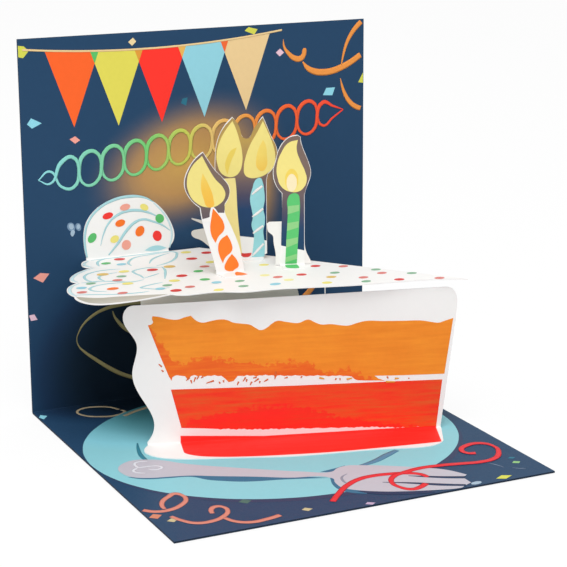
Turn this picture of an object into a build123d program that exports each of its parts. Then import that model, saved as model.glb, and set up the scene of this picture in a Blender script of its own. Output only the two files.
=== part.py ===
from build123d import *
import os
from math import cos, radians, sin

# A pop-up greeting card, open at a right angle. The lower leaf lies down, the rear
# leaf stands up, and a slice of cake with candles is folded out between them.
# Lengths are in millimetres. X runs along the spine, Y to the back and Z up.
# A depth is measured forward from the inner face of the rear leaf.

# Card and paper
card_side = 133.0
board = 0.6
sheet = 0.35
crease_radius = 0.25
crease_run = 1.2

# Front of the slice: a sheet turned about the vertical, with its foot folded forward
front_foot_width = 101.8
front_height = 50.5
front_angle = 16.1
front_left_x = -42.6
front_left_depth = 51.0
front_tab_depth = 19.9

# Top of the slice: a wedge whose point stands out to the front right
top_height = 53.4
top_point_x = 61.8
top_point_depth = 84.7
top_length = 127.5
top_rear_gap = 1.2
top_rear_right_x = -1.4

# Scoop of frosting, folded up from the rear of the top against the rear leaf
scoop_left_x = -44.5
scoop_width = 31.4
scoop_height = 22.1

# Plain sheet under the top: rear tab, deck, leg and foot
deck_depth = 45.0
deck_rear_left_x = -38.0
deck_rear_right_x = -6.0
deck_tab_height = 10.0
leg_left_x = -41.3
leg_right_x = 15.6
leg_foot_left_x = -31.0
leg_foot_right_x = 12.0
leg_shoulder_height = 39.0
leg_shoulder_out = 3.0
leg_tab_depth = 9.0
leg_tab_lead = 2.5

# Narrow strip that ties the front of the slice to the rear leaf
tie_place = 61.1
tie_rear_x = 50.4
tie_bottom = 33.0
tie_width = 7.0
tie_tab = 8.0
tie_bend = 0.8

# Candles: where each one stands on the top, its angle, its size and its foot
orange_x = -7.0
orange_depth = 41.0
orange_angle = 0.0
orange_width = 16.6
orange_height = 43.0
orange_tab = 6.0
pair_x = 8.0
pair_depth = 25.8
pair_angle = 16.0
pair_width = 21.8
pair_height = 51.0
pair_tab = 4.0
green_x = 18.0
green_depth = 41.0
green_angle = 16.0
green_width = 13.3
green_height = 46.0
green_tab = 6.0
candle_tab_lead = 0.6

# Stiffeners glued behind the orange and the green candle
stay_left_width = 17.0
stay_left_height = 20.6
stay_right_width = 15.7
stay_right_height = 15.8
stay_tab = 4.5

# Outline points as shares of a piece's own width and height, from its own origin
front_left_shares = [
    (0.022, 0.178), (-0.020, 0.350), (-0.044, 0.515), (-0.028, 0.711), (-0.070, 0.891),
    (-0.060, 0.950), (-0.030, 0.974),
]
front_right_shares = [(1.010, 1.000), (1.040, 0.970), (1.050, 0.897), (1.046, 0.778)]
front_tab_shares = [
    (-0.001, 0.533), (0.021, 0.643), (0.094, 0.804), (0.270, 0.910),
    (0.423, 1.000), (0.605, 0.975), (0.788, 0.940), (0.955, 0.830), (0.976, 0.693),
]
top_front_shares = [
    (0.152, 0.920), (0.273, 0.889), (0.374, 0.849), (0.445, 0.817), (0.515, 0.793),
    (0.596, 0.774), (0.636, 0.738), (0.695, 0.725), (0.728, 0.722), (0.762, 0.685),
]
top_lobe_shares = [
    [(0.823, 0.706), (0.899, 0.716), (0.977, 0.689), (1.000, 0.609), (0.995, 0.545)],
    [(0.997, 0.476), (0.973, 0.393), (0.939, 0.355)],
    [(0.951, 0.315), (0.934, 0.247), (0.889, 0.177), (0.842, 0.137)],
]
top_last_lobe_shares = [(0.863, 0.125), (0.865, 0.073)]
scoop_shares = [
    (-0.026, 0.380), (0.015, 0.630), (0.153, 0.845), (0.344, 0.964), (0.557, 1.000),
    (0.783, 0.900), (0.956, 0.679), (1.044, 0.457), (1.076, 0.260), (1.050, 0.140),
]
orange_foot_shares = (-0.301, 0.325)
orange_shares = [
    [(-0.458, 0.258), (-0.596, 0.451), (-0.639, 0.556)],
    [(-0.855, 0.637), (-0.976, 0.753), (-0.867, 0.884), (-0.729, 0.951), (-0.554, 1.000)],
    [(-0.434, 0.926), (-0.295, 0.849), (-0.120, 0.779), (0.024, 0.688), (0.006, 0.621), (-0.084, 0.567)],
    [(-0.090, 0.502), (0.000, 0.419), (0.108, 0.326), (0.235, 0.193)],
]
pair_foot_shares = (-0.385, 0.211)
pair_shares = [
    [(-0.427, 0.157), (-0.470, 0.480), (-0.509, 0.539)],
    [(-0.557, 0.610), (-0.560, 0.720), (-0.537, 0.812), (-0.445, 0.914), (-0.271, 1.000)],
    [(-0.193, 0.943), (-0.050, 0.839), (0.096, 0.920), (0.220, 0.998)],
    [(0.280, 0.937), (0.353, 0.861), (0.440, 0.780), (0.440, 0.692), (0.381, 0.637), (0.294, 0.596)],
    [(0.271, 0.555)],
    [(0.271, 0.036)],
]
green_foot_shares = (-0.406, 0.263)
green_shares = [
    [(-0.368, 0.150), (-0.331, 0.561)],
    [(-0.466, 0.611), (-0.564, 0.722), (-0.489, 0.817), (-0.398, 0.902), (-0.160, 0.982), (0.090, 1.000)],
    [(0.165, 0.985)],
    [(0.175, 0.950), (0.248, 0.885), (0.376, 0.791), (0.436, 0.711), (0.346, 0.617), (0.263, 0.541)],
]
stay_left_foot_shares = (-0.240, 0.200)
stay_left_shares = [
    [(-0.247, 0.330), (-0.470, 0.520), (-0.645, 0.630), (-0.794, 0.705), (-0.806, 0.745), (-0.730, 0.795)],
    [(-0.500, 0.805)],
    [(-0.500, 0.855)],
    [(-0.794, 0.980)],
    [(-0.794, 1.000)],
    [(-0.530, 0.935)],
    [(-0.240, 0.930)],
    [(-0.100, 0.760), (0.180, 0.140)],
]
stay_right_foot_shares = (-0.433, 0.369)
stay_right_shares = [
    [(-0.433, 0.335), (-0.471, 0.560), (-0.490, 0.690), (-0.590, 0.785), (-0.612, 0.900), (-0.618, 0.960)],
    [(-0.560, 1.000)],
    [(0.170, 0.985)],
    [(0.229, 0.519)],
    [(0.261, 0.304), (0.312, 0.190)],
]

# Places worked out from the sizes above
card_depth = card_side + board
back_y = card_depth / 2 - board
floor_z = board
top_z = floor_z + top_height
paper_z = top_z + sheet
upward = (0, 0, 1)


def standing(x, depth, z, angle=0.0):
    """Plane of an upright sheet: x along its foot, y up, z towards the reader."""
    along = Vector(cos(radians(angle)), -sin(radians(angle)), 0)
    forward = Vector(-sin(radians(angle)), -cos(radians(angle)), 0)
    return Plane(origin=(x, back_y - depth, z), x_dir=along, z_dir=forward)


def ahead(plane):
    """Plane of a tab folded towards the reader at the foot of an upright plane."""
    return Plane(origin=plane.origin, x_dir=plane.x_dir, z_dir=(0, 0, -1))


def behind(plane):
    """Plane of a tab folded away from the reader at the foot of an upright plane."""
    return Plane(origin=plane.origin, x_dir=plane.x_dir, z_dir=upward)


def sized(shares, width, height):
    """Points of an outline from shares of a width and a height."""
    return [(x * width, y * height) for x, y in shares]


def outline(left, right, stretches):
    """Outline beyond a fold: a short straight run at each end, and curves that meet in corners."""
    Line((right, 0), (left, 0))
    Line((left, 0), (left, crease_run))
    start = (left, crease_run)
    for stretch in stretches:
        points = [start, *stretch]
        if len(points) > 2:
            Spline(*points)
        else:
            Line(*points)
        start = points[-1]
    Line(start, (right, crease_run))
    Line((right, crease_run), (right, 0))


def tab(left, right, depth, lead):
    """Outline of a glued tab whose sides lean in."""
    outline(left, right, [[(left + lead, depth)], [(right - lead, depth)]])


def crease(part, outer, inner):
    """Round a fold: the outer corner of the sheet and the inner one."""
    fillet(part.edges().sort_by_distance(inner)[0], crease_radius)
    fillet(part.edges().sort_by_distance(outer)[0], crease_radius + sheet)


def crease_at(part, plane, x, thick):
    """Round the fold at the foot of an upright plane; thick is signed along its normal."""
    crease(part, plane.from_local_coords(Vector(x, 0, 0)), plane.from_local_coords(Vector(x, sheet, thick)))


# Cover: one board folded once along the spine
with BuildPart() as cover:
    with BuildSketch(Plane.YZ):
        with BuildLine():
            Polyline(
                (-card_depth / 2, 0),
                (card_depth / 2, 0),
                (card_depth / 2, card_side + board),
                (back_y, card_side + board),
                (back_y, floor_z),
                (-card_depth / 2, floor_z),
                close=True,
            )
        make_face()
    extrude(amount=card_side / 2, both=True)
    fillet(cover.edges().sort_by_distance((0, back_y, floor_z))[0], crease_radius)
    fillet(cover.edges().sort_by_distance((0, card_depth / 2, 0))[0], crease_radius + board)
cover.part.label = "cover"

# Front of the slice, with a wavy frosted edge on its left
front_plane = standing(front_left_x, front_left_depth, floor_z, front_angle)
with BuildPart() as cake_front:
    with BuildSketch(front_plane):
        with BuildLine():
            outline(0, front_foot_width, [
                sized(front_left_shares, front_foot_width, front_height),
                sized(front_right_shares[:1], front_foot_width, front_height),
                sized(front_right_shares[1:], front_foot_width, front_height),
            ])
        make_face()
    extrude(amount=sheet)
    with BuildSketch(ahead(front_plane)):
        with BuildLine():
            outline(0, front_foot_width, [sized(front_tab_shares, front_foot_width, front_tab_depth)])
        make_face()
    extrude(amount=sheet, dir=upward)
    crease_at(cake_front, front_plane, front_foot_width / 2, sheet)
cake_front.part.label = "cake_front"


def top_places(shares):
    """Places on the top of the slice, measured back and left from its point."""
    return [(top_point_x - x * top_length, back_y - y * top_point_depth) for x, y in shares]


# Top of the slice: lobes of frosting at the left, and the scoop folded up at the rear
scoop_plane = standing(scoop_left_x, 0, top_z)
with BuildPart() as cake_top:
    with BuildSketch(Plane.XY.offset(top_z)):
        with BuildLine():
            start = (top_point_x, back_y - top_point_depth)
            for stretch in [top_front_shares, *top_lobe_shares]:
                points = [start, *top_places(stretch)]
                Spline(*points)
                start = points[-1]
            Spline(start, *top_places(top_last_lobe_shares), (scoop_left_x, back_y - top_rear_gap))
            Polyline(
                (scoop_left_x, back_y - top_rear_gap),
                (scoop_left_x, back_y),
                (scoop_left_x + scoop_width, back_y),
                (scoop_left_x + scoop_width, back_y - top_rear_gap),
                (top_rear_right_x, back_y - top_rear_gap),
                (top_point_x, back_y - top_point_depth),
            )
        make_face()
    extrude(amount=sheet)
    with BuildSketch(scoop_plane):
        with BuildLine():
            outline(0, scoop_width, [sized(scoop_shares, scoop_width, scoop_height)])
        make_face()
    extrude(amount=sheet)
    crease_at(cake_top, scoop_plane, scoop_width / 2, sheet)
cake_top.part.label = "cake_top"

# Plain sheet under the top. Its leg shows as a grey strip above the front of the slice.
leg_plane = standing(0, deck_depth, floor_z)
with BuildPart() as platform:
    with BuildSketch(Plane.XY.offset(top_z - sheet)):
        with BuildLine():
            Polyline(
                (deck_rear_left_x, back_y),
                (deck_rear_left_x, back_y - crease_run),
                (leg_left_x, back_y - deck_depth + crease_run),
                (leg_left_x, back_y - deck_depth),
                (leg_right_x, back_y - deck_depth),
                (leg_right_x, back_y - deck_depth + crease_run),
                (deck_rear_right_x, back_y - crease_run),
                (deck_rear_right_x, back_y),
                close=True,
            )
        make_face()
    extrude(amount=sheet)
    with BuildSketch(Plane(origin=(0, back_y, top_z), x_dir=(1, 0, 0), z_dir=(0, 1, 0))):
        with BuildLine():
            tab(deck_rear_left_x, deck_rear_right_x, deck_tab_height, leg_tab_lead)
        make_face()
    extrude(amount=-sheet)
    with BuildSketch(leg_plane):
        with BuildLine():
            outline(leg_foot_left_x, leg_foot_right_x, [
                [(leg_left_x, leg_shoulder_height)],
                [(leg_left_x, top_height)],
                [(leg_right_x, top_height)],
                [(leg_right_x, top_height - crease_run)],
                [(leg_right_x + leg_shoulder_out, leg_shoulder_height)],
            ])
        make_face()
    extrude(amount=-sheet)
    with BuildSketch(behind(leg_plane)):
        with BuildLine():
            tab(leg_foot_left_x, leg_foot_right_x, leg_tab_depth, leg_tab_lead)
        make_face()
    extrude(amount=sheet, dir=upward)
    crease_at(platform, leg_plane, leg_foot_left_x / 2, -sheet)
    leg_y = back_y - deck_depth
    crease(platform, (0, leg_y, top_z), (0, leg_y + sheet, top_z - sheet))
    deck_middle_x = (deck_rear_left_x + deck_rear_right_x) / 2
    crease(platform, (deck_middle_x, back_y, top_z), (deck_middle_x, back_y - sheet, top_z - sheet))
platform.part.label = "platform"

# Tie strip, with a glued tab along the front of the slice and one on the rear leaf
tie_front = behind(front_plane)
tie_start = tie_front.from_local_coords(Vector(tie_place + tie_tab, sheet / 2, 0))
tie_corner = tie_front.from_local_coords(Vector(tie_place, sheet / 2, 0))
with BuildPart() as tie_strip:
    with BuildSketch(Plane.XY.offset(floor_z + tie_bottom)):
        with BuildLine():
            FilletPolyline(
                (tie_start.X, tie_start.Y),
                (tie_corner.X, tie_corner.Y),
                (tie_rear_x, back_y - sheet / 2),
                (tie_rear_x + tie_tab, back_y - sheet / 2),
                radius=tie_bend,
            )
        trace(line_width=sheet)
    extrude(amount=tie_width)
tie_strip.part.label = "tie_strip"


def candle_parts(foot_shares, shares, width, height):
    """Foot and outline of a candle from its shares."""
    left, right = foot_shares[0] * width, foot_shares[1] * width
    return left, right, [sized(stretch, width, height) for stretch in shares]


# Orange candle, which leans to the left
orange_plane = standing(orange_x, orange_depth - sheet, paper_z, orange_angle)
orange_left, orange_right, orange_sides = candle_parts(
    orange_foot_shares, orange_shares, orange_width, orange_height)
with BuildPart() as candle_orange:
    with BuildSketch(orange_plane):
        with BuildLine():
            outline(orange_left, orange_right, orange_sides)
        make_face()
    extrude(amount=sheet)
    with BuildSketch(ahead(orange_plane)):
        with BuildLine():
            tab(orange_left, orange_right, orange_tab, candle_tab_lead)
        make_face()
    extrude(amount=sheet, dir=upward)
    crease_at(candle_orange, orange_plane, 0, sheet)
candle_orange.part.label = "candle_orange"

# Yellow and blue candle, cut as one piece
pair_plane = standing(pair_x, pair_depth - sheet, paper_z, pair_angle)
pair_left, pair_right, pair_sides = candle_parts(pair_foot_shares, pair_shares, pair_width, pair_height)
with BuildPart() as candle_pair:
    with BuildSketch(pair_plane):
        with BuildLine():
            outline(pair_left, pair_right, pair_sides)
        make_face()
    extrude(amount=sheet)
    with BuildSketch(ahead(pair_plane)):
        with BuildLine():
            tab(pair_left, pair_right, pair_tab, candle_tab_lead)
        make_face()
    extrude(amount=sheet, dir=upward)
    crease_at(candle_pair, pair_plane, 0, sheet)
candle_pair.part.label = "candle_pair"

# Green candle
green_plane = standing(green_x, green_depth - sheet, paper_z, green_angle)
green_left, green_right, green_sides = candle_parts(
    green_foot_shares, green_shares, green_width, green_height)
with BuildPart() as candle_green:
    with BuildSketch(green_plane):
        with BuildLine():
            outline(green_left, green_right, green_sides)
        make_face()
    extrude(amount=sheet)
    with BuildSketch(ahead(green_plane)):
        with BuildLine():
            tab(green_left, green_right, green_tab, candle_tab_lead)
        make_face()
    extrude(amount=sheet, dir=upward)
    crease_at(candle_green, green_plane, 0, sheet)
candle_green.part.label = "candle_green"

# Stiffener on the rear face of the orange candle, its foot folded back
stay_left_left, stay_left_right, stay_left_sides = candle_parts(
    stay_left_foot_shares, stay_left_shares, stay_left_width, stay_left_height)
with BuildPart() as stay_left:
    with BuildSketch(orange_plane):
        with BuildLine():
            outline(stay_left_left, stay_left_right, stay_left_sides)
        make_face()
    extrude(amount=-sheet)
    with BuildSketch(behind(orange_plane)):
        with BuildLine():
            tab(stay_left_left, stay_left_right, stay_tab, candle_tab_lead)
        make_face()
    extrude(amount=sheet, dir=upward)
    crease_at(stay_left, orange_plane, 0, -sheet)
stay_left.part.label = "stay_left"

# Stiffener on the rear face of the green candle, its foot folded back
stay_right_left, stay_right_right, stay_right_sides = candle_parts(
    stay_right_foot_shares, stay_right_shares, stay_right_width, stay_right_height)
with BuildPart() as stay_right:
    with BuildSketch(green_plane):
        with BuildLine():
            outline(stay_right_left, stay_right_right, stay_right_sides)
        make_face()
    extrude(amount=-sheet)
    with BuildSketch(behind(green_plane)):
        with BuildLine():
            tab(stay_right_left, stay_right_right, stay_tab, candle_tab_lead)
        make_face()
    extrude(amount=sheet, dir=upward)
    crease_at(stay_right, green_plane, 0, -sheet)
stay_right.part.label = "stay_right"

os.makedirs("parts", exist_ok=True)
export_step(cover.part, "parts/cover.step")
export_step(cake_front.part, "parts/cake_front.step")
export_step(cake_top.part, "parts/cake_top.step")
export_step(platform.part, "parts/platform.step")
export_step(tie_strip.part, "parts/tie_strip.step")
export_step(candle_orange.part, "parts/candle_orange.step")
export_step(candle_pair.part, "parts/candle_pair.step")
export_step(candle_green.part, "parts/candle_green.step")
export_step(stay_left.part, "parts/stay_left.step")
export_step(stay_right.part, "parts/stay_right.step")
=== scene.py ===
from math import cos, hypot, pi, radians, sin

import bpy
from mathutils import Matrix, Vector


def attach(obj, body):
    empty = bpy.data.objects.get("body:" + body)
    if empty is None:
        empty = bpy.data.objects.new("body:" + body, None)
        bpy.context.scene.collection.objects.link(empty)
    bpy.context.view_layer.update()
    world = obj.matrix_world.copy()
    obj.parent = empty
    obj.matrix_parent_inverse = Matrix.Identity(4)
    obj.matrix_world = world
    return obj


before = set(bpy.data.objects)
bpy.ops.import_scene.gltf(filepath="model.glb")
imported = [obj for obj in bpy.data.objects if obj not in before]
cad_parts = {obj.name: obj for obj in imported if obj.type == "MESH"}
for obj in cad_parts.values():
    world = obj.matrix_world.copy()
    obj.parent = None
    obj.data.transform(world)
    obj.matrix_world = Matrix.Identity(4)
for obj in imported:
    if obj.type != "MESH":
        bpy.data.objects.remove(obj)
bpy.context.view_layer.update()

# An open pop-up card: a printed board folded once, with a slice of cake and four
# candles that stand up inside it. A drawing is laid out flat in millimetres, made a
# mesh, and then put on its face in metres.

bpy.ops.object.select_all(action="DESELECT")

# Sizes of the card, in millimetres, as in the part's source
mm = 0.001
card_side = 133.0
board = 0.6
sheet = 0.35
back_y = (card_side + board) / 2 - board
floor_z = board
paper_z = 54.35
front_left_x = -42.6
front_left_depth = 51.0
front_angle = 16.1
scoop_middle_x = -28.0
orange_x, orange_depth = -7.0, 41.0
pair_x, pair_depth, pair_angle = 8.0, 25.8, 16.0
green_x, green_depth, green_angle = 18.0, 41.0, 16.0

# Print: thickness of one level of ink, the gap that a print keeps to its sheet's outline,
# and half the width over which an edge painted on a sheet fades
film = 0.02
print_gap = 0.15
print_blur = 0.1

# Nearly all of a noise texture lies between these two values
noise_low, noise_high = 0.3, 0.7

# How far a sheet's fibres lower and raise its roughness, and how firmly they are felt
fibre_smooth, fibre_rough, fibre_firmness = 0.05, 0.06, 0.5

# Cover: depth of the cut edge that shows the board's core
edge_band = 0.03

# Dark pool of painted shade behind and under the slice, and the warm glow round the flames: middles, radii
# and lean
painted_shade_middle, painted_shade_radii = (-8.0, back_y, 12.6), (66.0, 30.8, 48.4)
glow_middle, glow_radii, glow_lean = (-5.0, back_y, 86.0), (41.0, 30.0, 25.0), -16.0
low_glow_middle, low_glow_radii = (18.0, back_y, 75.0), (17.0, 30.0, 30.0)

# Marks of a stiff brush: length of a streak, its width up the front and over the foot,
# and the sizes of the clouds in the paint and of the tufts at a coat's edge
streak_length, streak_width, streak_foot_width = 18.2, 1.33, 1.67
brush_cloud = 13.3
brush_tuft = 1.82

# Second coats: the reach and height they are laid out in, how far tufts and streaks tear
# their edge, and half the width over which that edge fades
coat_length, coat_rise = 108.0, 50.0
tuft_tear, streak_tear = 9.0, 6.0
coat_fade = 0.4


def placed(origin, across, up, out):
    """Place of a flat face, from millimetres on the drawing to metres."""
    turned = Matrix((across, up, out)).transposed() * mm
    return Matrix.Translation(Vector(origin) * mm) @ turned.to_4x4()


def upright(x, depth, height, angle=0.0):
    """Place of the front of an upright sheet that stands depth before the rear leaf."""
    across = Vector((cos(radians(angle)), -sin(radians(angle)), 0))
    ahead = Vector((-sin(radians(angle)), -cos(radians(angle)), 0))
    foot = Vector((x, back_y - depth + sheet, height)) + ahead * sheet
    return placed(foot, across, (0, 0, 1), ahead)


def lying(height):
    """Place of the top of a sheet that lies flat, measured from the fold of the card."""
    return placed((0, back_y, height), (1, 0, 0), (0, 1, 0), (0, 0, 1))


rear_leaf = placed((0, back_y, floor_z), (1, 0, 0), (0, 0, 1), (0, -1, 0))
lower_leaf = lying(floor_z)
cake_lid = lying(paper_z)
candle_feet = lying(paper_z + sheet)
scoop_face = upright(scoop_middle_x, sheet, paper_z)
slice_face = upright(front_left_x, front_left_depth + sheet, floor_z, front_angle)
orange_face = upright(orange_x, orange_depth, paper_z)
pair_face = upright(pair_x, pair_depth, paper_z, pair_angle)
green_face = upright(green_x, green_depth, paper_z, green_angle)


# Colours and materials
def linear(colour):
    """Linear red, green, blue and alpha of an sRGB hex colour."""
    parts = [int(colour[place:place + 2], 16) / 255 for place in (1, 3, 5)]
    straight = [part / 12.92 if part <= 0.04045 else ((part + 0.055) / 1.055) ** 2.4 for part in parts]
    return straight + [1.0]


def add(tree, kind, sockets=(), **settings):
    """Add a node with its settings; a socket gets a number, a colour or another node's output."""
    node = tree.nodes.new("ShaderNode" + kind)
    for name, value in settings.items():
        setattr(node, name, value)
    for socket, value in dict(sockets).items():
        if isinstance(value, bpy.types.Node):
            value = value.outputs[0]
        if isinstance(value, bpy.types.NodeSocket):
            tree.links.new(value, node.inputs[socket])
        else:
            node.inputs[socket].default_value = linear(value) if isinstance(value, str) else value
    return node


def stops(ramp, colours):
    """Set a ramp's colours, each with its place from 0 to 1."""
    elements = ramp.color_ramp.elements
    for count, (place, colour) in enumerate(colours):
        element = elements[count] if count < 2 else elements.new(place)
        element.position = place
        element.color = linear(colour)
    return ramp


def knots(curve, places):
    """Set a curve's knots, each with its place along it and its height from 0 to 1."""
    points = curve.mapping.curves[0].points
    points[0].location = places[0]
    points[1].location = places[-1]
    for along, height in places[1:-1]:
        points.new(along, height)
    curve.mapping.update()
    return curve


def material(name):
    """A new material, its node tree, its shader and the place on the object in metres."""
    made = bpy.data.materials.new(name)
    made.use_nodes = True
    tree = made.node_tree
    shader = tree.nodes["Principled BSDF"]
    place = add(tree, "TexCoord").outputs["Object"]
    return made, tree, shader, place


def paper_surface(tree, shader, place, colour, rough, sheen, clouding, mottle, grain, relief):
    """Finish a sheet: a faint cloudiness in the colour, and fibres felt in gloss and relief.

    Colour is a hex colour or a node's output. Clouding is the share of light and dark in
    it. Mottle and grain are the sizes of the clouds and the fibres, and relief the height
    of the fibres, in millimetres. Real fibres are a few hundredths of a millimetre thick,
    and are drawn about ten times as coarse so that they show.
    """
    clouds = add(tree, "TexNoise", {"Vector": place, "Scale": 1 / (mottle * mm), "Detail": 4.0})
    fibres = add(tree, "TexNoise", {"Vector": place, "Scale": 1 / (grain * mm), "Detail": 3.0})
    shade = add(tree, "MapRange", {
        "Value": clouds, "From Min": noise_low, "From Max": noise_high,
        "To Min": 1.0 - clouding, "To Max": 1.0 + clouding,
    })
    grey = add(tree, "CombineColor", {0: shade, 1: shade, 2: shade})
    tint = add(tree, "Mix", {0: 1.0, 6: colour, 7: grey}, data_type="RGBA", blend_type="MULTIPLY")
    gloss = add(tree, "MapRange", {
        "Value": fibres, "From Min": noise_low, "From Max": noise_high,
        "To Min": rough - fibre_smooth, "To Max": rough + fibre_rough,
    })
    felt = add(tree, "Bump", {"Height": fibres, "Distance": relief * mm, "Strength": fibre_firmness})
    tree.links.new(tint.outputs[2], shader.inputs["Base Color"])
    tree.links.new(gloss.outputs[0], shader.inputs["Roughness"])
    tree.links.new(felt.outputs[0], shader.inputs["Normal"])
    shader.inputs["Specular IOR Level"].default_value = sheen


def inked_surface(tree, shader, place, colour):
    """Offset ink on coated card: even colour and a low satin, with a full solid's faint clouds."""
    paper_surface(tree, shader, place, colour, rough=0.48, sheen=0.1, clouding=0.012, mottle=1.6,
                  grain=0.35, relief=0.006)


def printed_ink(name, colour):
    """One solid ink."""
    made, tree, shader, place = material(name)
    inked_surface(tree, shader, place, colour)
    return made


def blended_ink(name, colours, axis, start, reach):
    """An ink that changes colour along an axis, from its start over its reach in millimetres."""
    made, tree, shader, place = material(name)
    spot = add(tree, "SeparateXYZ", {0: place})
    along = add(tree, "MapRange", {
        "Value": spot.outputs[axis], "From Min": start * mm, "From Max": (start + reach) * mm,
    })
    inked_surface(tree, shader, place, stops(add(tree, "ValToRGB", {0: along}), colours))
    return made


def oval_reach(tree, place, middle, radii, lean=0.0):
    """Distance from a middle, 1 at the rim of an oval with these radii; both in millimetres."""
    laid_out = add(tree, "Mapping", {
        "Vector": place, "Location": [part * mm for part in middle],
        "Rotation": (0, radians(lean), 0), "Scale": [part * mm for part in radii],
    }, vector_type="TEXTURE")
    return add(tree, "VectorMath", {0: laid_out}, operation="LENGTH").outputs["Value"]


def plate_paint_with_shade(name, colours, middle, radii):
    """The plate's ink with painted shade: darkest at its rear left, where the slice's foot shades it, and
    paler outwards.
    """
    made, tree, shader, place = material(name)
    outwards = oval_reach(tree, place, middle, radii)
    inked_surface(tree, shader, place, stops(add(tree, "ValToRGB", {0: outwards}), colours))
    return made


# Colours that more than one finish needs, and the core of the cover's board
navy = "#264564"
board_core = "#1d2c40"
coated_white = "#f1f0ee"

# Solid inks of the card
inks = {name: printed_ink("ink_" + name, colour) for name, colour in {
    # bunting, with the colour that two flags make where they overlap
    "flag_orange": "#f8662c", "flag_yellow": "#dfd65a", "flag_red": "#fd382e", "flag_blue": "#92d0dd",
    "flag_tan": "#eacb95", "lap_green": "#5cbd68", "lap_ochre": "#dd9a3c", "lap_gold": "#e8b45a",
    "lap_orange": "#ee6a38",
    # confetti and streamers
    "pink": "#f0a193", "pale_pink": "#e9c3d3", "lime": "#d3d455", "sky": "#8fd4e4", "sand": "#ecd5a0",
    "leaf_green": "#8fc07e", "teal": "#2f7187", "khaki": "#92875d", "loop_tan": "#b5a486",
    "streamer_orange": "#ec9648", "streamer_red": "#e0363f", "salmon": "#d48676", "burnt_salmon": "#d08468",
    "stain": "#a2b8ca", "stain_dark": "#728da8", "dim_green": "#4c6f66", "dim_sand": "#c6b88e",
    "dim_pink": "#bfa9c6", "dim_grey": "#72839a",
    # plate and fork
    "rim_dark": "#3a8296", "rim_blue": "#5588a6", "plate_shadow": "#33415f", "fork_grey": "#bdbbc5",
    "fork_light": "#dcdee6", "fork_mark": "#8f94a4", "fork_shadow": "#35708f", "fork_dark": "#273c5b",
    # frosting, beads and crumbs
    "icing_line": "#a9d6dc", "icing_edge": "#c9e4ea", "scoop_red": "#ef3c36", "bead_red": "#d6413f",
    "bead_rose": "#d97d76", "bead_orange": "#f5772c", "bead_yellow": "#ebe07e", "bead_lemon": "#efe8a4",
    "bead_green": "#5dba6d", "bead_sage": "#85b290", "bead_pink": "#eda392", "bead_blue": "#93cddc",
    "bead_tan": "#dcba68", "crumb": "#dc6a38", "crumb_gold": "#eaa23f",
    # candles
    "flame": "#efdf88", "flame_pale": "#f5e6bd", "flame_gold": "#efd262", "wax_orange": "#fb7f30",
    "wax_blue": "#9ad8de", "wax_green": "#5fc373", "wax_green_pale": "#90cd88", "wax_yellow": "#f4e296",
    "wick": "#e9cf62", "paper_white": "#f2f0ed",
}.items()}

# Inks that change colour over the sheet
garland_foot_x = -60.0
garland_ink = blended_ink("garland_ink", [
    (0.0, "#8fd6de"), (0.18, "#7fd0a8"), (0.34, "#78cc74"), (0.46, "#c6cf5c"), (0.55, "#ecc878"),
    (0.66, "#f2a24e"), (0.78, "#f46a36"), (1.0, "#f5443a"),
], axis="X", start=garland_foot_x, reach=118.0)
# Painted shade on the plate: its teal darkens towards the slice's foot at the rear left
plate_ink_with_shade = plate_paint_with_shade("plate_ink_with_shade", [
    (0.0, "#3f7c86"), (0.12, "#47858f"), (0.27, "#5599a5"), (0.46, "#6bb3c0"), (0.66, "#85ccda"),
    (0.84, "#8cd1df"), (1.0, "#8bc9d3"),
], middle=(-28.0, back_y - 14.0, 0.0), radii=(46.0, 46.0, 60.0))
blade_ink = blended_ink("flame_blade_ink", [
    (0.0, "#f3b648"), (0.5, "#f2c352"), (1.0, "#f1d66e"),
], axis="Z", start=76.0, reach=16.0)
halo_ink = blended_ink("candle_halo_ink", [
    (0.0, "#234263"), (0.27, "#27446a"), (0.38, "#4f4d62"), (0.48, "#6f6062"), (0.62, "#9a7d5e"),
    (0.80, "#b99a55"), (1.0, "#a98f58"),
], axis="Z", start=60.0, reach=46.0)
short_halo_ink = blended_ink("short_candle_halo_ink", [
    (0.0, "#264565"), (0.15, "#2c4768"), (0.35, "#4d4d62"), (0.6, "#6e6062"), (1.0, "#7c6a62"),
], axis="Z", start=63.5, reach=26.0)
brown_halo_ink = blended_ink("brown_halo_ink", [
    (0.0, "#5d5560"), (0.4, "#756661"), (1.0, "#7f6c62"),
], axis="Z", start=72.0, reach=20.0)
lobe_shade_ink = blended_ink("lobe_shade_ink", [
    (0.0, "#c4bfb3"), (0.4, "#bbb6aa"), (1.0, "#b3ae9f"),
], axis="Y", start=6.2, reach=7.0)


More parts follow.
